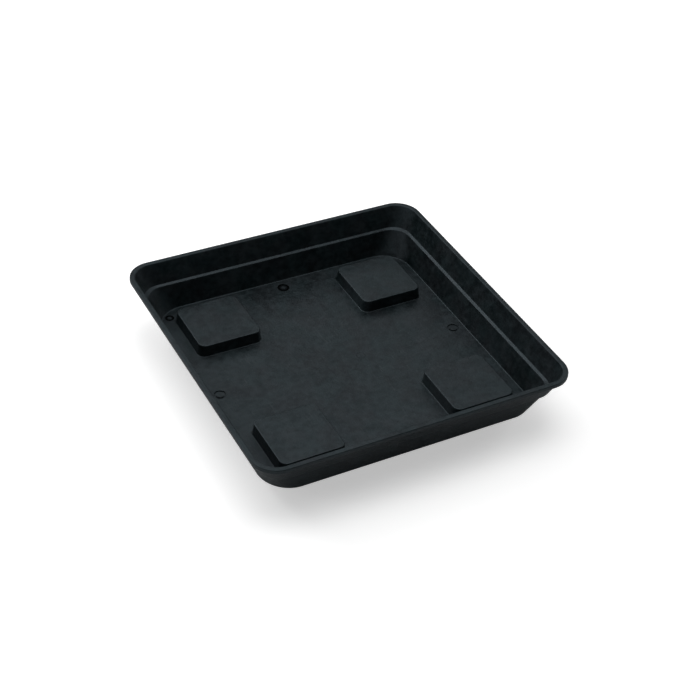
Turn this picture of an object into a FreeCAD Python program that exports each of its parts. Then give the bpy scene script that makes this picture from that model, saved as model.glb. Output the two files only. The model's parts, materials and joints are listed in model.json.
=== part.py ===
import FreeCAD, Part
import math
import os

os.makedirs("parts", exist_ok=True)
V = FreeCAD.Vector
UP = V(0, 0, 1)
ACROSS = V(0, 1, 0)

# ---------------------------------------------------------------- sizes, mm
# Frame: +Z up, ground at z = 0, origin under the middle of the tray.
# Front is -Y, left is -X.

# tray
rim_size = 400.0            # square, outside edge to outside edge of the rim
tray_height = 62.0          # underside of the floor to the top of the rim
wall = 2.2                  # side wall thickness
floor_thick = 2.5
rim_overhang = 6.0          # rim outside edge to the inner face of the wall
rim_thick = 5.6
rim_corner = 31.0           # plan radius of the rim's outside corners
ledge_drop = 26.7           # top of the rim to the outer line of the ledge
ledge_fall = 1.8            # height lost across the ledge
ledge_width = 3.1           # how far the ledge steps inwards
upper_draft = 19.2          # degrees from vertical, upper wall
lower_draft = 15.5          # degrees from vertical, lower wall
ledge_corner = 24.0         # plan radius of the inner face at the ledge
floor_corner = 38.0         # plan radius of the inner face at the floor
base_round = 5.8            # outside bottom edge
rim_round = 1.1             # outside edges of the rim
rim_inner_round = 1.5       # inside edge of the rim
ledge_round = 1.0
floor_round = 1.3           # floor to wall, inside

# raised pads, each one the roof of a caster well
pad_size = 80.2             # square, across the top
pad_height = 15.2
pad_spacing = 222.4         # pad centre to pad centre
pad_corner = 9.0
pad_side_draft = 5.5        # degrees
pad_round = 1.2
pad_foot_round = 1.0
pad_roof = 2.5
well_wall = 2.3
well_mouth_round = 1.0

# witness rings left in the floor by the moulding tool
ring_from_wall = 14.8       # side rings: centre to the foot of the wall
ring_outer = 14.8
ring_band = 2.4
ring_depth = 1.3
corner_ring_from_wall = 16.4
corner_ring_outer = 10.8

# caster
wheel_dia = 25.0
tread_width = 11.0
tyre_thick = 2.5
tyre_round = 1.5
hub_rim_thick = 2.0
hub_rim_width = 10.0
hub_web = 4.4
hub_boss_dia = 9.0
trail = 14.0                # kingpin axis to axle axis, level
axle_dia = 4.0
axle_head_dia = 6.8
axle_head_thick = 1.1
axle_head_round = 0.66
fork_sheet = 1.4
fork_leg_gap = 14.0         # between the inner faces of the legs
fork_crown_dia = 25.0
fork_eye_radius = 4.8
fork_eye_flat = 1.44        # how far past the axle the eye's low point lies
fork_shoulder = 1.5         # straight part of each leg under the crown
fork_back = 7.37            # kingpin axis to the back edge of the legs
crown_clear = 1.8           # tread top to crown
fork_bend_round = 0.9
ball_dia = 3.0
ball_count = 12
race_dia = 16.0
race_gap = 1.3              # crown to top plate
kingpin_dia = 6.0
kingpin_head_dia = 9.4
kingpin_head_thick = 1.3
kingpin_head_round = 0.91
plate_size = 38.0
plate_thick = 1.8
plate_corner = 5.0
screw_spacing = 29.0
screw_dia = 3.0
screw_hole_extra = 0.4      # diameter
screw_head_dia = 5.6
screw_head_thick = 1.7
screw_head_round = 1.02
screw_bite = 4.6            # length held in the boss and roof
screw_tip_room = 0.3
boss_dia = 7.2
boss_length = 3.9           # well roof to the top of the caster plate
cross_width = 0.9
cross_length = 3.4
cross_depth = 0.9

# clearances
run_clear = 0.05            # radial, pin in hole that turns on it
side_clear = 0.4            # hub boss to each fork leg
part_clear = 0.3            # anything else that moves past its neighbour

# modelling only
overlap = 1.0               # how far a cutter or an added block runs past a face
tiny = 0.02                 # two lengths this close are the same

# ---------------------------------------------------------- derived values
# The casters stand on the ground and carry the tray, so heights build up
# from the wheel to the well roof, and the tray follows.
axle_z = wheel_dia / 2
crown_low_z = wheel_dia + crown_clear
crown_top_z = crown_low_z + fork_sheet
plate_low_z = crown_top_z + race_gap
plate_top_z = plate_low_z + plate_thick
ball_z = (crown_top_z + plate_low_z) / 2
well_top_z = plate_top_z + boss_length
pad_top_z = well_top_z + pad_roof
floor_z = pad_top_z - pad_height
base_z = floor_z - floor_thick
rim_z = base_z + tray_height
rim_under_z = rim_z - rim_thick
ledge_high_z = rim_z - ledge_drop
ledge_low_z = ledge_high_z - ledge_fall

# half-widths of the tray's inner face
rim_half = rim_size / 2
tan_upper = math.tan(math.radians(upper_draft))
tan_lower = math.tan(math.radians(lower_draft))
inner_rim = rim_half - rim_overhang
inner_ledge_out = inner_rim - ledge_drop * tan_upper
inner_ledge_in = inner_ledge_out - ledge_width
inner_floor = inner_ledge_in - (ledge_low_z - floor_z) * tan_lower

# half-widths of a pad and its well
pad_centre = pad_spacing / 2
pad_half_top = pad_size / 2
tan_pad = math.tan(math.radians(pad_side_draft))
pad_half_foot = pad_half_top + pad_height * tan_pad
well_half_top = pad_half_top + pad_roof * tan_pad - well_wall
well_half_mouth = well_half_top + (well_top_z - base_z) * tan_pad
well_corner = pad_corner - well_wall

leg_inner = fork_leg_gap / 2
leg_outer = leg_inner + fork_sheet
hub_dia = wheel_dia - 2 * tyre_thick


# ----------------------------------------------------------------- helpers
def rounded_square(half, radius, z, cx=0.0, cy=0.0):
    """Closed wire: a square of side 2*half with round corners, at height z."""
    edges = []
    k = half - radius
    corners = [(k, k, 0), (-k, k, 90), (-k, -k, 180), (k, -k, 270)]
    points = []
    for px, py, start in corners:
        arc = []
        for step in (0, 45, 90):
            a = math.radians(start + step)
            x = cx + px + radius * math.cos(a)
            y = cy + py + radius * math.sin(a)
            arc.append(V(x, y, z))
        points.append(arc)
    for i in range(4):
        a, b, c = points[i]
        edges.append(Part.Arc(a, b, c).toShape())
        edges.append(Part.makeLine(c, points[(i + 1) % 4][0]))
    return Part.Wire(edges)


def frustum(sections, cx=0.0, cy=0.0):
    """Solid through rounded squares given as (half, radius, z)."""
    wires = [rounded_square(h, r, z, cx, cy) for h, r, z in sections]
    return Part.makeLoft(wires, True, True)


def offset_line(p, q, dist):
    """The line p-q moved sideways by dist, to the right of its travel."""
    dx, dz = q[0] - p[0], q[1] - p[1]
    n = math.hypot(dx, dz)
    ox, oz = dz / n * dist, -dx / n * dist
    return (p[0] + ox, p[1] + oz), (q[0] + ox, q[1] + oz)


def meet(a, b):
    """Where two lines, each given by two points, cross."""
    (x1, z1), (x2, z2) = a
    (x3, z3), (x4, z4) = b
    d = (x1 - x2) * (z3 - z4) - (z1 - z2) * (x3 - x4)
    s = x1 * z2 - z1 * x2
    t = x3 * z4 - z3 * x4
    return (s * (x3 - x4) - (x1 - x2) * t) / d, (s * (z3 - z4) - (z1 - z2) * t) / d


def at_height(line, z):
    """Half-width of a sloping line at height z."""
    (x1, z1), (x2, z2) = line
    return x1 + (x2 - x1) * (z - z1) / (z2 - z1)


def cylinder(radius, z0, z1, x=0.0, y=0.0):
    return Part.makeCylinder(radius, z1 - z0, V(x, y, z0), UP)


def level_edges(shape, z, half, cx=0.0, cy=0.0):
    """Edges of the rounded square of this half-width that lies at height z."""
    found = []
    for e in shape.Edges:
        b = e.BoundBox
        if abs(b.ZMin - z) > tiny or abs(b.ZMax - z) > tiny:
            continue
        reach = max(b.XMax - cx, cx - b.XMin, b.YMax - cy, cy - b.YMin)
        if abs(reach - half) <= tiny:
            found.append(e)
    return found


def rounded(shape, radius, z, half, cx=0.0, cy=0.0):
    return shape.makeFillet(radius, level_edges(shape, z, half, cx, cy))


def save(name, shape):
    shape.exportStep("parts/" + name + ".step")


# -------------------------------------------------------------------- tray
# The inner face is a chain of four lines; the outer face is the same chain
# moved out by the wall, so the wall is even all the way round the step.
inner = [
    (inner_floor, floor_z),
    (inner_ledge_in, ledge_low_z),
    (inner_ledge_out, ledge_high_z),
    (inner_rim, rim_z),
]
outer_low = offset_line(inner[0], inner[1], wall)
outer_step = offset_line(inner[1], inner[2], wall)
outer_high = offset_line(inner[2], inner[3], wall)
step_in = meet(outer_low, outer_step)
step_out = meet(outer_step, outer_high)
outer_base = at_height(outer_low, base_z)
outer_top = at_height(outer_high, rim_under_z)

inner_radius = [floor_corner, ledge_corner, ledge_corner, rim_corner - rim_overhang]
outer_sections = [
    (outer_base, floor_corner + wall, base_z),
    (step_in[0], ledge_corner + wall, step_in[1]),
    (step_out[0], ledge_corner + wall, step_out[1]),
    (outer_top, rim_corner - (rim_half - outer_top), rim_under_z),
]
inner_sections = [(h, r, z) for (h, z), r in zip(inner, inner_radius)]
inner_sections[3] = (
    inner_rim + overlap * tan_upper,
    inner_radius[3] + overlap * tan_upper,
    rim_z + overlap,
)

tub = frustum(outer_sections)
tub = rounded(tub, base_round, base_z, outer_base)
rim = frustum([(rim_half, rim_corner, rim_under_z), (rim_half, rim_corner, rim_z)])
for z in (rim_z, rim_under_z):
    rim = rounded(rim, rim_round, z, rim_half)
hollow = frustum(inner_sections)
hollow = rounded(hollow, floor_round, floor_z, inner_floor)
tray = tub.fuse(rim).removeSplitter().cut(hollow)

# soften the step, inside and out, and the inside edge of the rim
soft_edges = [
    (ledge_round, ledge_low_z, inner_ledge_in),
    (ledge_round, ledge_high_z, inner_ledge_out),
    (rim_inner_round, rim_z, inner_rim),
    (ledge_round + wall, step_out[1], step_out[0]),
    (ledge_round, step_in[1], step_in[0]),
]
for radius, z, half in soft_edges:
    tray = rounded(tray, radius, z, half)

corners = [
    ("front_left", -1, -1),
    ("front_right", 1, -1),
    ("rear_left", -1, 1),
    ("rear_right", 1, 1),
]

# raised pads over the caster wells
for _, sx, sy in corners:
    cx, cy = sx * pad_centre, sy * pad_centre
    low = floor_z - overlap
    pad = frustum(
        [
            (pad_half_foot + overlap * tan_pad, pad_corner, low),
            (pad_half_top, pad_corner, pad_top_z),
        ],
        cx,
        cy,
    )
    pad = rounded(pad, pad_round, pad_top_z, pad_half_top, cx, cy)
    tray = tray.fuse(pad)
    tray = rounded(tray, pad_foot_round, floor_z, pad_half_foot, cx, cy)
for _, sx, sy in corners:
    cx, cy = sx * pad_centre, sy * pad_centre
    well = frustum(
        [
            (well_half_mouth + overlap * tan_pad, well_corner, base_z - overlap),
            (well_half_top, well_corner, well_top_z),
        ],
        cx,
        cy,
    )
    tray = tray.cut(well)
    tray = rounded(tray, well_mouth_round, base_z, well_half_mouth, cx, cy)

# screw bosses hanging from each well's roof, with blind screw bores
half_screws = screw_spacing / 2
screw_places = [(-1, -1), (1, -1), (1, 1), (-1, 1)]
bore_top_z = plate_top_z + screw_bite + screw_tip_room
for _, sx, sy in corners:
    for ax, ay in screw_places:
        x = sx * pad_centre + ax * half_screws
        y = sy * pad_centre + ay * half_screws
        boss = cylinder(boss_dia / 2, plate_top_z, well_top_z + overlap, x, y)
        bore = cylinder(screw_dia / 2, plate_top_z - overlap, bore_top_z, x, y)
        tray = tray.fuse(boss).cut(bore)

# witness rings pressed into the floor
side_ring = inner_floor - ring_from_wall
corner_ring = inner_floor - corner_ring_from_wall
rings = [(0, -side_ring), (side_ring, 0), (0, side_ring), (-side_ring, 0)]
rings = [(x, y, ring_outer) for x, y in rings]
rings += [(sx * corner_ring, sy * corner_ring, corner_ring_outer) for _, sx, sy in corners]
for x, y, dia in rings:
    low = floor_z - ring_depth
    outer = cylinder(dia / 2, low, floor_z + overlap, x, y)
    core = cylinder(dia / 2 - ring_band, low - overlap, floor_z + 2 * overlap, x, y)
    tray = tray.cut(outer.cut(core))
tray = tray.removeSplitter()
save("tray", tray)


# ----------------------------------------------------------------- casters
# Each piece is drawn about the kingpin axis with the wheel trailing to +X,
# then turned so that the wheel trails towards the middle of the tray.
def caster_plate():
    plate = frustum(
        [
            (plate_size / 2, plate_corner, plate_low_z),
            (plate_size / 2, plate_corner, plate_top_z),
        ]
    )
    hole = (screw_dia + screw_hole_extra) / 2
    for ax, ay in screw_places:
        x, y = ax * half_screws, ay * half_screws
        plate = plate.cut(cylinder(hole, plate_low_z - overlap, plate_top_z + overlap, x, y))
    middle = cylinder(kingpin_dia / 2, plate_low_z - overlap, plate_top_z + overlap)
    plate = plate.cut(middle)
    race = Part.makeTorus(race_dia / 2, ball_dia / 2 + part_clear, V(0, 0, ball_z), UP)
    return plate.cut(race)


def bearing_balls():
    balls = []
    for i in range(ball_count):
        a = 2 * math.pi * i / ball_count
        at = V(race_dia / 2 * math.cos(a), race_dia / 2 * math.sin(a), ball_z)
        balls.append(Part.makeSphere(ball_dia / 2, at))
    return Part.makeCompound(balls)


def ring_edges(head, at, axis):
    """Edges of a turned head that lie square to the axis, at that distance."""
    found = []
    for e in head.Edges:
        b = e.BoundBox
        low, high = (b.ZMin, b.ZMax) if axis == "z" else (b.YMin, b.YMax)
        if abs(low - at) < tiny and abs(high - at) < tiny:
            found.append(e)
    return found


def kingpin():
    lower_top = crown_low_z - part_clear
    lower_end = lower_top - kingpin_head_thick
    upper_end = plate_top_z + kingpin_head_thick
    shaft = cylinder(kingpin_dia / 2, lower_top, plate_top_z)
    for low, high, end in ((lower_end, lower_top, lower_end), (plate_top_z, upper_end, upper_end)):
        head = cylinder(kingpin_head_dia / 2, low, high)
        head = head.makeFillet(kingpin_head_round, ring_edges(head, end, "z"))
        shaft = shaft.fuse(head)
    return shaft.removeSplitter()


def tangent_point(px, pz, cx, cz, radius, side):
    """Where the line from a point touches a circle; side is +1 or -1."""
    dx, dz = cx - px, cz - pz
    dist = math.hypot(dx, dz)
    toward = math.atan2(pz - cz, px - cx)
    spread = math.acos(radius / dist)
    a = toward + side * spread
    return cx + radius * math.cos(a), cz + radius * math.sin(a)


def fork():
    crown_r = fork_crown_dia / 2
    crown = cylinder(crown_r, crown_low_z, crown_top_z)
    reach = math.sqrt(crown_r**2 - leg_outer**2)
    back, front = -fork_back, reach
    top = crown_low_z + fork_sheet / 2
    drop = crown_low_z - fork_shoulder
    fx, fz = tangent_point(front, drop, trail, axle_z, fork_eye_radius, -1)
    bx, bz = tangent_point(back, drop, trail, axle_z, fork_eye_radius, 1)
    end_x = trail + fork_eye_flat
    end_z = axle_z - math.sqrt(fork_eye_radius**2 - fork_eye_flat**2)
    legs = None
    for side in (-1, 1):
        y0 = leg_inner if side > 0 else -leg_outer
        pts = [(back, top), (front, top), (front, drop), (fx, fz)]
        wire = [V(x, y0, z) for x, z in pts]
        edges = [Part.makeLine(a, b) for a, b in zip(wire[:-1], wire[1:])]
        edges.append(Part.Arc(V(fx, y0, fz), V(end_x, y0, end_z), V(bx, y0, bz)).toShape())
        edges.append(Part.makeLine(V(bx, y0, bz), V(back, y0, drop)))
        edges.append(Part.makeLine(V(back, y0, drop), V(back, y0, top)))
        leg = Part.Face(Part.Wire(edges)).extrude(V(0, fork_sheet, 0))
        legs = leg if legs is None else legs.fuse(leg)
    body = crown.fuse(legs).removeSplitter()
    bends = []
    for e in body.Edges:
        b = e.BoundBox
        level = abs(b.ZMin - crown_low_z) < tiny and abs(b.ZMax - crown_low_z) < tiny
        inside = abs(abs(b.YMin) - leg_inner) < tiny and b.YMax - b.YMin < tiny
        if level and inside:
            bends.append(e)
    body = body.makeFillet(fork_bend_round, bends)
    hole = kingpin_dia / 2 + run_clear
    body = body.cut(cylinder(hole, crown_low_z - overlap, crown_top_z + overlap))
    body = body.cut(Part.makeTorus(race_dia / 2, ball_dia / 2, V(0, 0, ball_z), UP))
    eye = Part.makeCylinder(axle_dia / 2, 4 * leg_outer, V(trail, -2 * leg_outer, axle_z), ACROSS)
    return body.cut(eye)


def turned(profile):
    """Solid of revolution about the wheel axis from (radius, y) points."""
    pts = [V(trail, y, axle_z + r) for r, y in profile]
    pts.append(pts[0])
    face = Part.Face(Part.makePolygon(pts))
    return face.revolve(V(trail, 0, axle_z), ACROSS, 360)


def wheel_hub():
    bore = axle_dia / 2 + run_clear
    boss = hub_boss_dia / 2
    boss_y = leg_inner - side_clear
    inner_rim_r = hub_dia / 2 - hub_rim_thick
    half, web = hub_rim_width / 2, hub_web / 2
    one = [
        (bore, boss_y),
        (boss, boss_y),
        (boss, web),
        (inner_rim_r, web),
        (inner_rim_r, half),
        (hub_dia / 2, half),
    ]
    other = [(r, -y) for r, y in reversed(one)]
    return turned(one + other)


def tyre():
    half = tread_width / 2
    ring = turned(
        [
            (hub_dia / 2, half),
            (wheel_dia / 2, half),
            (wheel_dia / 2, -half),
            (hub_dia / 2, -half),
        ]
    )
    edges = []
    for e in ring.Edges:
        if isinstance(e.Curve, Part.Circle) and abs(e.Curve.Radius - wheel_dia / 2) < tiny:
            edges.append(e)
    return ring.makeFillet(tyre_round, edges)


def wheel_axle():
    start = V(trail, -leg_outer, axle_z)
    axle = Part.makeCylinder(axle_dia / 2, 2 * leg_outer, start, ACROSS)
    for side in (-1, 1):
        low = leg_outer if side > 0 else -leg_outer - axle_head_thick
        end = side * (leg_outer + axle_head_thick)
        head = Part.makeCylinder(axle_head_dia / 2, axle_head_thick, V(trail, low, axle_z), ACROSS)
        head = head.makeFillet(axle_head_round, ring_edges(head, end, "y"))
        axle = axle.fuse(head)
    return axle.removeSplitter()


def mounting_screws():
    screws = []
    for ax, ay in screw_places:
        x, y = ax * half_screws, ay * half_screws
        low = plate_low_z - screw_head_thick
        head = cylinder(screw_head_dia / 2, low, plate_low_z, x, y)
        head = head.makeFillet(screw_head_round, ring_edges(head, low, "z"))
        shank = cylinder(screw_dia / 2, plate_low_z, plate_top_z + screw_bite, x, y)
        screw = head.fuse(shank).removeSplitter()
        for w, l in ((cross_width, cross_length), (cross_length, cross_width)):
            start = V(x - w / 2, y - l / 2, low - overlap)
            slot = Part.makeBox(w, l, cross_depth + overlap, start)
            screw = screw.cut(slot)
        screws.append(screw)
    return Part.makeCompound(screws)


pieces = [
    ("caster_plate", caster_plate(), False),
    ("bearing_balls", bearing_balls(), True),
    ("kingpin", kingpin(), False),
    ("fork", fork(), True),
    ("wheel_hub", wheel_hub(), True),
    ("tyre", tyre(), True),
    ("wheel_axle", wheel_axle(), True),
    ("mounting_screws", mounting_screws(), False),
]
for corner, sx, sy in corners:
    cx, cy = sx * pad_centre, sy * pad_centre
    heading = math.degrees(math.atan2(-sy, -sx))
    for name, shape, swivels in pieces:
        placed = shape.copy()
        if swivels:
            placed.rotate(V(0, 0, 0), UP, heading)
        placed.translate(V(cx, cy, 0))
        save(corner + "_" + name, placed)
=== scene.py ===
import json
import math
import bpy
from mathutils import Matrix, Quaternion, Vector


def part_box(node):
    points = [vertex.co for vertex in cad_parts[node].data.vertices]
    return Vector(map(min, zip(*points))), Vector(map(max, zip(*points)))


# Lengths are in metres, and colours are linear red, green and blue.
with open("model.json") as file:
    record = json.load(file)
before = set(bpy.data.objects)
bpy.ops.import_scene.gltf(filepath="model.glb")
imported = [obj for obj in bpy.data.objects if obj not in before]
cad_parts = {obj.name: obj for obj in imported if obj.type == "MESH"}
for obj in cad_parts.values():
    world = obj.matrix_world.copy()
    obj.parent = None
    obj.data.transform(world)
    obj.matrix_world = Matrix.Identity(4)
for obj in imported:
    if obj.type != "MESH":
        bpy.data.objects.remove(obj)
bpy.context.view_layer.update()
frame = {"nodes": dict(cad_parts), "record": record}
nodes = frame["nodes"]
tray_low, tray_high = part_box("tray")
pads = [mount for mount in frame["record"]["mounts"] if mount["name"].endswith("_pad")]
corners = [mount["name"].removesuffix("_pad") for mount in pads]

# ------------------------------------------------------------ camera
CAMERA_AZIMUTH = -30.607     # degrees, 0 looks along +Y
CAMERA_ELEVATION = 38.978
CAMERA_ROLL = 4.488
CAMERA_DISTANCE = 1.7443
CAMERA_SENSOR = 36.0         # mm
CAMERA_LENS = 76.06          # mm
CAMERA_CLIP = (0.05, 60.0)
AIM_FROM_RIM = Vector((-0.0017, -0.0233, -0.0260))   # from the middle of the rim's top


def make_camera():
    """A long lens that looks down at the tray from the front left."""
    data = bpy.data.cameras.new("camera")
    data.sensor_width = CAMERA_SENSOR
    data.lens = CAMERA_LENS
    data.clip_start, data.clip_end = CAMERA_CLIP
    camera = bpy.data.objects.new("camera", data)
    bpy.context.scene.collection.objects.link(camera)
    a, e = math.radians(CAMERA_AZIMUTH), math.radians(CAMERA_ELEVATION)
    back = Vector((math.sin(a) * math.cos(e), -math.cos(a) * math.cos(e), math.sin(e)))
    aim = Vector((0.0, 0.0, tray_high.z)) + AIM_FROM_RIM
    camera.location = aim + back * CAMERA_DISTANCE
    level = (-back).to_track_quat("-Z", "Y")
    roll = Quaternion((0, 0, 1), math.radians(CAMERA_ROLL))
    camera.rotation_mode = "QUATERNION"
    camera.rotation_quaternion = level @ roll
    bpy.context.scene.camera = camera


# ------------------------------------------------------------ node helpers
class Nodes:
    """A short way to write a material's node tree."""

    def __init__(self, name):
        self.material = bpy.data.materials.new(name)
        self.material.use_nodes = True
        self.tree = self.material.node_tree
        self.shader = self.tree.nodes["Principled BSDF"]
        self.where = self.add("ShaderNodeTexCoord").outputs["Object"]

    def add(self, kind, **values):
        """A new node with these properties."""
        node = self.tree.nodes.new(kind)
        for key, value in values.items():
            setattr(node, key, value)
        return node

    def set(self, socket, value):
        """Give a socket a plain value or link it to another socket."""
        if isinstance(value, (int, float, tuple)):
            socket.default_value = value
        else:
            self.tree.links.new(value, socket)

    def noise(self, scale, detail=3.0, rough=0.5, distortion=0.0, vector=None):
        """Cloudy noise, 0 to 1, in object coordinates unless a vector is given."""
        node = self.add("ShaderNodeTexNoise")
        node.inputs["Scale"].default_value = scale
        node.inputs["Detail"].default_value = detail
        node.inputs["Roughness"].default_value = rough
        node.inputs["Distortion"].default_value = distortion
        self.set(node.inputs["Vector"], self.where if vector is None else vector)
        return node.outputs["Fac"]

    def span(self, value, a, b, low, high):
        """The range a to b mapped onto low to high, and held at its ends."""
        node = self.add("ShaderNodeMapRange")
        for key, number in (("From Min", a), ("From Max", b), ("To Min", low), ("To Max", high)):
            node.inputs[key].default_value = number
        self.set(node.inputs["Value"], value)
        return node.outputs["Result"]

    def math(self, operation, first, *others):
        """One operation from left to right, so "ADD", a, b, c is (a + b) + c."""
        total = first
        for other in others or (0.0,):
            node = self.add("ShaderNodeMath", operation=operation)
            self.set(node.inputs[0], total)
            self.set(node.inputs[1], other)
            total = node.outputs[0]
        return total

    def mix(self, factor, a, b):
        """Colour a turning into colour b as the factor goes from 0 to 1."""
        node = self.add("ShaderNodeMix", data_type="RGBA")
        self.set(node.inputs[0], factor)
        self.set(node.inputs[6], a)
        self.set(node.inputs[7], b)
        return node.outputs[2]

    def scaled(self, x, y, z):
        """Object coordinates stretched along the axes."""
        node = self.add("ShaderNodeMapping")
        node.inputs["Scale"].default_value = (x, y, z)
        self.set(node.inputs["Vector"], self.where)
        return node.outputs["Vector"]

    def scratches(self, along, across):
        """Thin lines: a noise drawn out along one direction, only its crests kept."""
        lines = self.noise(1.0, 2.0, 0.5, 1.5, self.scaled(along, across, across))
        return self.span(lines, 0.62, 0.72, 0.0, 1.0)

    def distance(self, a, b):
        """Length of the plan vector (a, b)."""
        total = self.math("ADD", self.math("MULTIPLY", a, a), self.math("MULTIPLY", b, b))
        return self.math("SQRT", total)

    def about(self, centre, axis):
        """Distance from an axle through this centre, and distance along it."""
        offset = self.add("ShaderNodeVectorMath", operation="SUBTRACT")
        self.set(offset.inputs[0], self.where)
        offset.inputs[1].default_value = centre
        along = self.add("ShaderNodeVectorMath", operation="DOT_PRODUCT")
        self.set(along.inputs[0], offset.outputs["Vector"])
        along.inputs[1].default_value = axis
        length = self.add("ShaderNodeVectorMath", operation="LENGTH")
        self.set(length.inputs[0], offset.outputs["Vector"])
        full = self.math("POWER", length.outputs["Value"], 2.0)
        part = self.math("POWER", self.math("ABSOLUTE", along.outputs["Value"]), 2.0)
        square = self.math("MAXIMUM", self.math("SUBTRACT", full, part), 0.0)
        return self.math("SQRT", square), along.outputs["Value"]

    def rings(self, radius, scale, detail=2.0):
        """Noise that changes with the radius alone, as a lathe or a round mould leaves it."""
        across = self.join(self.math("MULTIPLY", radius, scale), 0.0, 0.0)
        return self.noise(1.0, detail, 0.5, 0.0, across)

    def split(self, vector):
        """The three parts of a vector or colour."""
        node = self.add("ShaderNodeSeparateXYZ")
        self.set(node.inputs[0], vector)
        return tuple(node.outputs)

    def join(self, x, y, z):
        """One vector from three parts."""
        node = self.add("ShaderNodeCombineXYZ")
        for socket, value in zip(node.inputs, (x, y, z)):
            self.set(socket, value)
        return node.outputs[0]

    def bump(self, height, strength, distance, normal=None):
        """The normal after a bump, laid over an earlier normal if there is one."""
        node = self.add("ShaderNodeBump")
        node.inputs["Strength"].default_value = strength
        node.inputs["Distance"].default_value = distance
        self.set(node.inputs["Height"], height)
        if normal is not None:
            self.set(node.inputs["Normal"], normal)
        return node.outputs["Normal"]

    def surface(self, colour, roughness, normal=None, metallic=0.0):
        """Fill in the shader's main sockets."""
        self.set(self.shader.inputs["Base Color"], colour)
        self.set(self.shader.inputs["Roughness"], roughness)
        self.set(self.shader.inputs["Metallic"], metallic)
        if normal is not None:
            self.set(self.shader.inputs["Normal"], normal)


def place(names, material):
    """Give the named CAD nodes this material."""
    for name in names:
        for slot in nodes[name].material_slots:
            slot.material = material


# ------------------------------------------------------------ tray
BASE_LOW = tray_low.z
RIM_TOP = tray_high.z
FLOOR_TOP = BASE_LOW + 0.0025
GATE = (0.027, -0.002)       # where the plastic entered the mould
GATE_RADIUS = 0.0052         # the round mark it left there
RING_AT = 0.1582             # middle of the tray to the middle of a side ring
RING_RADIUS = 0.0076         # just past the ring's groove
CORNER_RING_AT = 0.1566      # the same for a corner ring, along X and along Y
CORNER_RING_RADIUS = 0.0056
RINGS_SHADE_START = 0.05           # forward of this the rings get little painted shade, and behind this their painted shade is darkest
RINGS_SHADE_FULL = 0.14           # and behind this they are packed
TRAY_IOR = 1.49
TRAY_GLOSS_TINT = (0.73, 0.89, 1.0, 1)
TRAY_DARK = (0.0005, 0.0016, 0.0019, 1)
TRAY_LIGHT = (0.0085, 0.0130, 0.0142, 1)
TRAY_WARM = (0.0078, 0.0078, 0.0088, 1)
TRAY_COOL = (0.0012, 0.0072, 0.0075, 1)
# painted shade for the grooves of the rings, and the tone of the gate's ring mark
TRAY_GROOVE_SHADE_AND_GATE_MARK = (0.0010, 0.0014, 0.0014, 1)
TRAY_SCUFF = (0.050, 0.053, 0.056, 1)
TRAY_ROUGH = 0.46
RIM_COARSER = 0.08           # extra roughness along the rim


def gate_marks(n, x, y, z):
    """Flow lines that fan out from the gate, and the faint ring that it left."""
    gate_x = n.math("SUBTRACT", x, GATE[0])
    gate_y = n.math("SUBTRACT", y, GATE[1])
    radius = n.distance(gate_x, gate_y)
    turn = n.math("ARCTAN2", gate_y, gate_x)
    polar = n.join(n.math("MULTIPLY", turn, 5.0), n.math("MULTIPLY", radius, 14.0), z)
    flow = n.noise(1.0, 4.0, 0.6, 0.6, polar)
    from_ring = n.math("ABSOLUTE", n.math("SUBTRACT", radius, GATE_RADIUS))
    return flow, n.span(from_ring, 0.0, 0.0009, 1.0, 0.0)


def ring_painted_shade(n, x, y, z):
    """Painted shade in the grooves of the rings that the moulding tool left: darkest in the rear
    ones.
    """
    wide = n.math("ABSOLUTE", x)
    deep = n.math("ABSOLUTE", y)
    far = n.math("SUBTRACT", n.math("MAXIMUM", wide, deep), RING_AT)
    from_side = n.distance(far, n.math("MINIMUM", wide, deep))
    corner_x = n.math("SUBTRACT", wide, CORNER_RING_AT)
    corner_y = n.math("SUBTRACT", deep, CORNER_RING_AT)
    from_corner = n.distance(corner_x, corner_y)
    in_side = n.math("LESS_THAN", from_side, RING_RADIUS)
    in_corner = n.math("LESS_THAN", from_corner, CORNER_RING_RADIUS)
    inside = n.math("MAXIMUM", in_side, in_corner)
    above = n.math("GREATER_THAN", z, BASE_LOW + 0.0006)
    # painted shade: darkest where a groove sinks below the floor, and in a band round the outer
    # part of each ring, both more towards the rear
    sunk = n.span(z, FLOOR_TOP - 0.0012, FLOOR_TOP - 0.0001, 1.0, 0.0)
    sunk_shade = n.math("MULTIPLY", sunk, n.span(y, RINGS_SHADE_START, RINGS_SHADE_FULL, 0.18, 1.0))
    nearest = n.math("MINIMUM", from_side, from_corner)
    grease_film_and_band_shade = n.span(nearest, 0.0012, 0.0038, 0.0, 0.80)
    rear_band_shade = n.math("MULTIPLY", grease_film_and_band_shade, n.span(y, RINGS_SHADE_START, RINGS_SHADE_FULL, 0.0, 1.0))
    groove_shade_amount = n.math("MAXIMUM", sunk_shade, rear_band_shade)
    return n.math("MULTIPLY", inside, n.math("MULTIPLY", groove_shade_amount, above))


def handling_scuffs(n, z):
    """A few pale hairlines, most on the rim and underneath."""
    hairs = n.math("MAXIMUM", n.scratches(26.0, 900.0), n.scratches(700.0, 31.0))
    patch = n.span(n.noise(17.0, 2.0), 0.52, 0.64, 0.0, 1.0)
    rim = n.span(z, RIM_TOP - 0.0016, RIM_TOP, 0.0, 0.25)
    under = n.span(z, BASE_LOW, BASE_LOW + 0.002, 0.45, 0.0)
    worn = n.math("MAXIMUM", n.math("MULTIPLY", patch, 0.35), n.math("MAXIMUM", rim, under))
    return n.math("MULTIPLY", hairs, worn)


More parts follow.
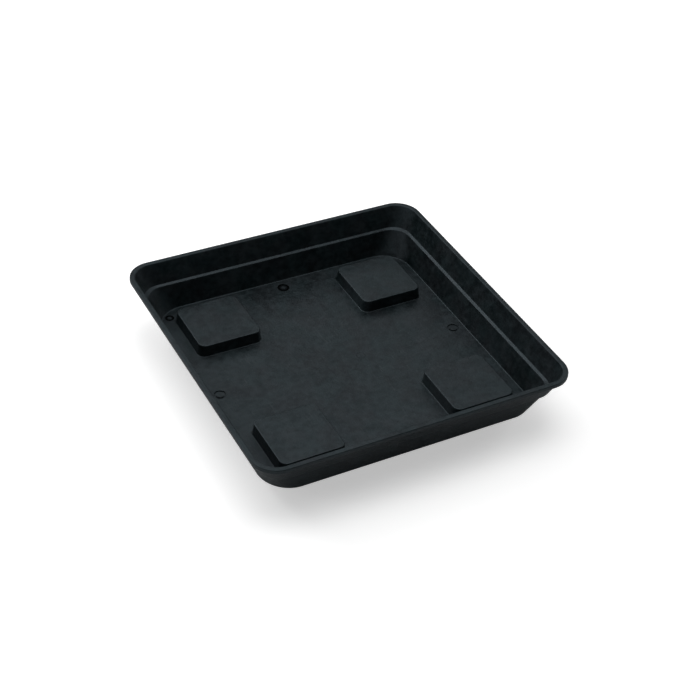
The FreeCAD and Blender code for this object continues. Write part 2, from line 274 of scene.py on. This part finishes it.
def tray_plastic():
    """Satin black polypropylene: mottling, flow lines, fine grain, painted shade in the ring
    grooves, and scuffs.
    """
    n = Nodes("tray_plastic")
    x, y, z = n.split(n.where)
    flow, gate_ring = gate_marks(n, x, y, z)
    # painted shade in the grooves of the moulding rings
    painted_groove_shade = ring_painted_shade(n, x, y, z)
    scuff = handling_scuffs(n, z)
    clouds = n.noise(30.0, 4.0, 0.6, 0.6)
    mottle = n.noise(125.0, 4.0, 0.65)
    tone = n.math(
        "ADD",
        n.math("MULTIPLY", clouds, 0.34),
        n.math("MULTIPLY", mottle, 0.50),
        n.math("MULTIPLY", flow, 0.16),
    )

    plain = n.mix(n.span(tone, 0.40, 0.60, 0.0, 1.0), TRAY_DARK, TRAY_LIGHT)
    cool = n.mix(n.span(n.noise(34.0, 2.0), 0.4, 0.6, 0.0, 1.0), TRAY_WARM, TRAY_COOL)
    colour = n.mix(0.35, plain, cool)
    # painted shade: the ring grooves darkened
    colour = n.mix(painted_groove_shade, colour, TRAY_GROOVE_SHADE_AND_GATE_MARK)
    colour = n.mix(scuff, colour, TRAY_SCUFF)
    colour = n.mix(n.math("MULTIPLY", gate_ring, 0.5), colour, TRAY_GROOVE_SHADE_AND_GATE_MARK)

    rough = n.math(
        "ADD",
        n.span(clouds, 0.35, 0.65, TRAY_ROUGH - 0.04, TRAY_ROUGH + 0.04),
        n.span(mottle, 0.35, 0.65, -0.06, 0.06),
        n.span(z, RIM_TOP - 0.0022, RIM_TOP - 0.0004, 0.0, RIM_COARSER),
        n.math("MULTIPLY", painted_groove_shade, 0.35),
        n.math("MULTIPLY", scuff, 0.12),
    )

    waves = n.noise(130.0, 4.0, 0.65, 0.5)
    pores = n.noise(420.0, 3.0, 0.6)
    grain = n.noise(1500.0, 2.0, 0.6)
    normal = n.bump(waves, 0.40, 0.0012)
    normal = n.bump(gate_ring, 0.35, -0.0004, normal)
    normal = n.bump(pores, 0.30, 0.0004, normal)
    normal = n.bump(grain, 0.25, 0.00015, normal)

    # a metal as dark as this plastic reflects almost nothing, so this takes the gloss away; in
    # the ring grooves this is painted shade
    dull = n.math(
        "MAXIMUM",
        n.span(tone, 0.42, 0.58, 0.20, 0.0),
        n.math("MULTIPLY", gate_ring, 0.4),
        n.math("MULTIPLY", painted_groove_shade, 0.9),
    )
    n.surface(colour, rough, normal, dull)
    n.shader.inputs["IOR"].default_value = TRAY_IOR
    n.shader.inputs["Specular Tint"].default_value = TRAY_GLOSS_TINT
    return n.material


# ------------------------------------------------------------ casters
ZINC_BLUE = (0.93, 0.97, 1.0)
ZINC_STRAW = (0.95, 0.92, 0.80)
ZINC_DULL = (0.66, 0.67, 0.69)
STEEL_DUST = (0.21, 0.20, 0.18, 1)
BALL_STEEL = (0.66, 0.66, 0.67, 1)
BALL_GREASE = (0.30, 0.26, 0.19, 1)
TURNED_BRIGHT = (0.60, 0.61, 0.63, 1)
TURNED_STAINED = (0.36, 0.34, 0.30, 1)
NYLON_DARK = (0.012, 0.012, 0.013, 1)
NYLON_LIGHT = (0.030, 0.030, 0.031, 1)
RUBBER_DARK = (0.020, 0.020, 0.021, 1)
RUBBER_LIGHT = (0.036, 0.035, 0.034, 1)
WHEEL_DUST = (0.115, 0.105, 0.092, 1)
METAL = 1.0
PLATE_BRIGHT = 0.64
FORK_BRIGHT = 0.60
PLATE_ROLLED = (60.0, 2400.0, 2400.0)    # noise scale by axis: the lines run along X
FORK_ROLLED = (2000.0, 2000.0, 90.0)     # and up the legs
AXLE_ROUGH = 0.34
KINGPIN_ROUGH = 0.30
SCREW_ROUGH = 0.36
UPRIGHT = (0, 0, 1)


def zinc_steel(name, bright, rolled):
    """Zinc-plated pressed steel: rolling lines, cloudy passivation, fine scratches."""
    n = Nodes(name)
    cloud = n.noise(90.0, 4.0, 0.6, 0.8)
    grains = n.add("ShaderNodeTexVoronoi", feature="F1")
    grains.inputs["Scale"].default_value = 900.0
    n.set(grains.inputs["Vector"], n.where)
    spangle = n.split(grains.outputs["Color"])[0]
    blue, straw, dull = (
        tuple(bright * c for c in colour) + (1,) for colour in (ZINC_BLUE, ZINC_STRAW, ZINC_DULL)
    )
    plated = n.mix(n.span(cloud, 0.42, 0.66, 0.0, 0.8), blue, straw)
    spangled = n.mix(n.span(spangle, 0.0, 1.0, 0.0, 0.35), plated, dull)
    dust = n.span(n.noise(38.0, 5.0, 0.7), 0.50, 0.75, 0.0, 0.55)
    colour = n.mix(dust, spangled, STEEL_DUST)
    lines = n.noise(1.0, 3.0, 0.6, 0.0, n.scaled(*rolled))
    hairs = n.scratches(40.0, 1500.0)
    rough = n.math(
        "ADD",
        n.span(lines, 0.3, 0.7, 0.24, 0.38),
        n.math("MULTIPLY", spangle, 0.06),
        n.math("MULTIPLY", dust, 0.30),
    )
    rough = n.math("SUBTRACT", rough, n.math("MULTIPLY", hairs, 0.10))
    normal = n.bump(lines, 0.12, 0.00006)
    normal = n.bump(hairs, 0.15, 0.00005, normal)
    normal = n.bump(n.noise(700.0, 2.0), 0.10, 0.00010, normal)
    n.surface(colour, rough, normal, METAL)
    return n.material


def bearing_steel():
    """Ground and polished balls under a thin film of grease."""
    n = Nodes("bearing_steel")
    grease_film_and_band_shade = n.noise(260.0, 3.0, 0.6)
    greasy = n.span(grease_film_and_band_shade, 0.48, 0.68, 0.0, 0.7)
    colour = n.mix(greasy, BALL_STEEL, BALL_GREASE)
    rough = n.span(n.noise(900.0, 2.0), 0.3, 0.7, 0.10, 0.16)
    rough = n.math("ADD", rough, n.math("MULTIPLY", greasy, 0.2))
    n.surface(colour, rough, n.bump(grease_film_and_band_shade, 0.15, 0.00012), METAL)
    return n.material


def turned_steel(name, centre, axis, roughness):
    """Plated rivet and screw steel, stained in patches, with faint rings about this axis."""
    n = Nodes(name)
    radius = n.about(centre, axis)[0]
    rings = n.rings(radius, 4200.0)
    cloud = n.noise(220.0, 4.0, 0.6)
    colour = n.mix(n.span(cloud, 0.45, 0.70, 0.0, 0.7), TURNED_BRIGHT, TURNED_STAINED)
    rough = n.span(rings, 0.3, 0.7, roughness - 0.06, roughness + 0.06)
    rough = n.math("ADD", rough, n.span(cloud, 0.4, 0.8, 0.0, 0.15))
    normal = n.bump(rings, 0.18, 0.00005)
    normal = n.bump(n.noise(1400.0, 2.0), 0.12, 0.00008, normal)
    n.surface(colour, rough, normal, METAL)
    return n.material


def hub_plastic(name, centre, axis):
    """Moulded black nylon wheel: faint turning rings, a parting line and dust."""
    n = Nodes(name)
    radius, along = n.about(centre, axis)
    rings = n.rings(radius, 2600.0)
    cloud = n.noise(150.0, 4.0, 0.6)
    dust = n.span(n.noise(420.0, 4.0, 0.7), 0.52, 0.72, 0.0, 0.35)
    base = n.mix(n.span(cloud, 0.35, 0.65, 0.0, 1.0), NYLON_DARK, NYLON_LIGHT)
    colour = n.mix(dust, base, WHEEL_DUST)
    parting = n.span(n.math("ABSOLUTE", along), 0.0, 0.00016, 1.0, 0.0)
    rough = n.math("ADD", n.span(cloud, 0.3, 0.7, 0.38, 0.52), n.math("MULTIPLY", dust, 0.3))
    normal = n.bump(rings, 0.15, 0.00006)
    normal = n.bump(parting, 0.5, 0.00008, normal)
    normal = n.bump(n.noise(1600.0, 2.0), 0.25, 0.00012, normal)
    n.surface(colour, rough, normal)
    return n.material


def tyre_rubber(name, centre, axis, reach):
    """Grey-black rubber tyre, dusty and fretted where it meets the ground."""
    n = Nodes(name)
    radius = n.about(centre, axis)[0]
    grit = n.noise(600.0, 5.0, 0.7)
    blotch = n.noise(160.0, 3.0, 0.6)
    side = n.mix(n.span(blotch, 0.35, 0.65, 0.0, 1.0), RUBBER_DARK, RUBBER_LIGHT)
    tread = n.span(radius, reach - 0.0011, reach - 0.0001, 0.0, 1.0)
    speck = n.span(grit, 0.42, 0.66, 0.15, 0.9)
    colour = n.mix(n.math("MULTIPLY", tread, speck), side, WHEEL_DUST)
    rings = n.rings(radius, 1500.0, 1.0)
    rough = n.math("ADD", n.span(blotch, 0.3, 0.7, 0.62, 0.78), n.math("MULTIPLY", tread, 0.14))
    normal = n.bump(rings, 0.2, 0.00010)
    normal = n.bump(grit, 0.4, 0.00025, normal)
    n.surface(colour, rough, normal)
    return n.material


def dress_casters():
    """Pressed steel and balls share a material; the rest turn about their own caster's axes."""
    plate_zinc = zinc_steel("plate_zinc", PLATE_BRIGHT, PLATE_ROLLED)
    fork_zinc = zinc_steel("fork_zinc", FORK_BRIGHT, FORK_ROLLED)
    place([c + "_caster_plate" for c in corners], plate_zinc)
    place([c + "_fork" for c in corners], fork_zinc)
    place([c + "_bearing_balls" for c in corners], bearing_steel())
    for corner, pad in zip(corners, pads):
        low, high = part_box(corner + "_tyre")
        wheel_at = tuple((low + high) / 2)
        wheel_radius = (high.z - low.z) / 2
        pad_at = tuple(pad["pos_m"])
        inward = Vector((-pad_at[0], -pad_at[1], 0.0)).normalized()
        axle = (-inward.y, inward.x, 0.0)
        rubber = tyre_rubber(corner + "_tyre_rubber", wheel_at, axle, wheel_radius)
        nylon = hub_plastic(corner + "_hub_plastic", wheel_at, axle)
        axle_steel = turned_steel(corner + "_axle_steel", wheel_at, axle, AXLE_ROUGH)
        kingpin_steel = turned_steel(corner + "_kingpin_steel", pad_at, UPRIGHT, KINGPIN_ROUGH)
        screw_steel = turned_steel(corner + "_screw_steel", pad_at, UPRIGHT, SCREW_ROUGH)
        place([corner + "_tyre"], rubber)
        place([corner + "_wheel_hub"], nylon)
        place([corner + "_wheel_axle"], axle_steel)
        place([corner + "_kingpin"], kingpin_steel)
        place([corner + "_mounting_screws"], screw_steel)


# ------------------------------------------------------------ floor
FLOOR_SIZE = 60.0
FLOOR_WHITE = 0.93
FLOOR_GLOW = 0.45
FLOOR_ROUGH = 0.95
BOUNCE_WHITE = 0.65
BOUNCE_HEIGHT = -0.001


def floor_sheet(name, height, white, glow):
    """A plain square sheet lying level at this height."""
    mesh = bpy.data.meshes.new(name)
    s, z = FLOOR_SIZE / 2, height
    mesh.from_pydata([(-s, -s, z), (s, -s, z), (s, s, z), (-s, s, z)], [], [(0, 1, 2, 3)])
    sheet = bpy.data.objects.new(name, mesh)
    bpy.context.scene.collection.objects.link(sheet)
    n = Nodes(name)
    n.surface((white, white, white, 1), FLOOR_ROUGH)
    n.shader.inputs["Emission Color"].default_value = (1, 1, 1, 1)
    n.shader.inputs["Emission Strength"].default_value = glow
    mesh.materials.append(n.material)
    return sheet


def make_floor():
    """The pale floor that shows, and a sheet just under it that lights the tray."""
    floor = floor_sheet("floor", 0.0, FLOOR_WHITE, FLOOR_GLOW)
    floor.visible_diffuse = False
    floor.visible_glossy = False
    floor.visible_shadow = False
    bounce = floor_sheet("floor_bounce", BOUNCE_HEIGHT, BOUNCE_WHITE, 0.0)
    bounce.visible_camera = False


# ------------------------------------------------------------ light
# name, place, size, power in watts
LIGHTS = (
    ("back_left", (-1.1, 1.7, 1.7), (1.6, 1.2), 27.0),
    ("back_right", (1.1, 1.7, 1.7), (1.6, 1.2), 4.8),
    ("overhead", (0.1, 0.1, 2.2), (1.8, 1.8), 25.5),
    ("left", (-2.2, 0.2, 1.3), (1.6, 1.2), 7.5),
    ("right", (2.2, 0.2, 1.3), (1.6, 1.2), 9.7),
    ("front_left", (-1.4, -1.8, 1.5), (1.6, 1.2), 3.8),
)
# the world's strength by how far up a direction points: a faint glow up to the horizon
WORLD = {"From Min": 0.05, "From Max": 0.45, "To Min": 0.14, "To Max": 0.0}
WORLD_COLOUR = (0.93, 0.97, 1.0, 1)


def area_light(name, at, size, power):
    """A soft rectangular light aimed at the middle of the tray."""
    data = bpy.data.lights.new(name, "AREA")
    data.energy = power
    data.shape = "RECTANGLE"
    data.size, data.size_y = size
    light = bpy.data.objects.new(name, data)
    bpy.context.scene.collection.objects.link(light)
    light.location = at
    aim = Vector((0.0, 0.0, tray_high.z / 2))
    light.rotation_mode = "QUATERNION"
    light.rotation_quaternion = (aim - Vector(at)).to_track_quat("-Z", "Y")


def make_light():
    """Six soft lamps, and a world that is dark overhead."""
    world = bpy.data.worlds.new("world")
    world.use_nodes = True
    tree = world.node_tree
    background = tree.nodes["Background"]
    where = tree.nodes.new("ShaderNodeTexCoord")
    split = tree.nodes.new("ShaderNodeSeparateXYZ")
    height = tree.nodes.new("ShaderNodeMapRange")
    for key, number in WORLD.items():
        height.inputs[key].default_value = number
    tree.links.new(where.outputs["Generated"], split.inputs[0])
    tree.links.new(split.outputs["Z"], height.inputs["Value"])
    tree.links.new(height.outputs["Result"], background.inputs["Strength"])
    background.inputs["Color"].default_value = WORLD_COLOUR
    bpy.context.scene.world = world
    for name, at, size, power in LIGHTS:
        area_light(name, at, size, power)


make_camera()
make_light()
make_floor()
bpy.context.scene.view_settings.view_transform = "Standard"
place(["tray"], tray_plastic())
dress_casters()
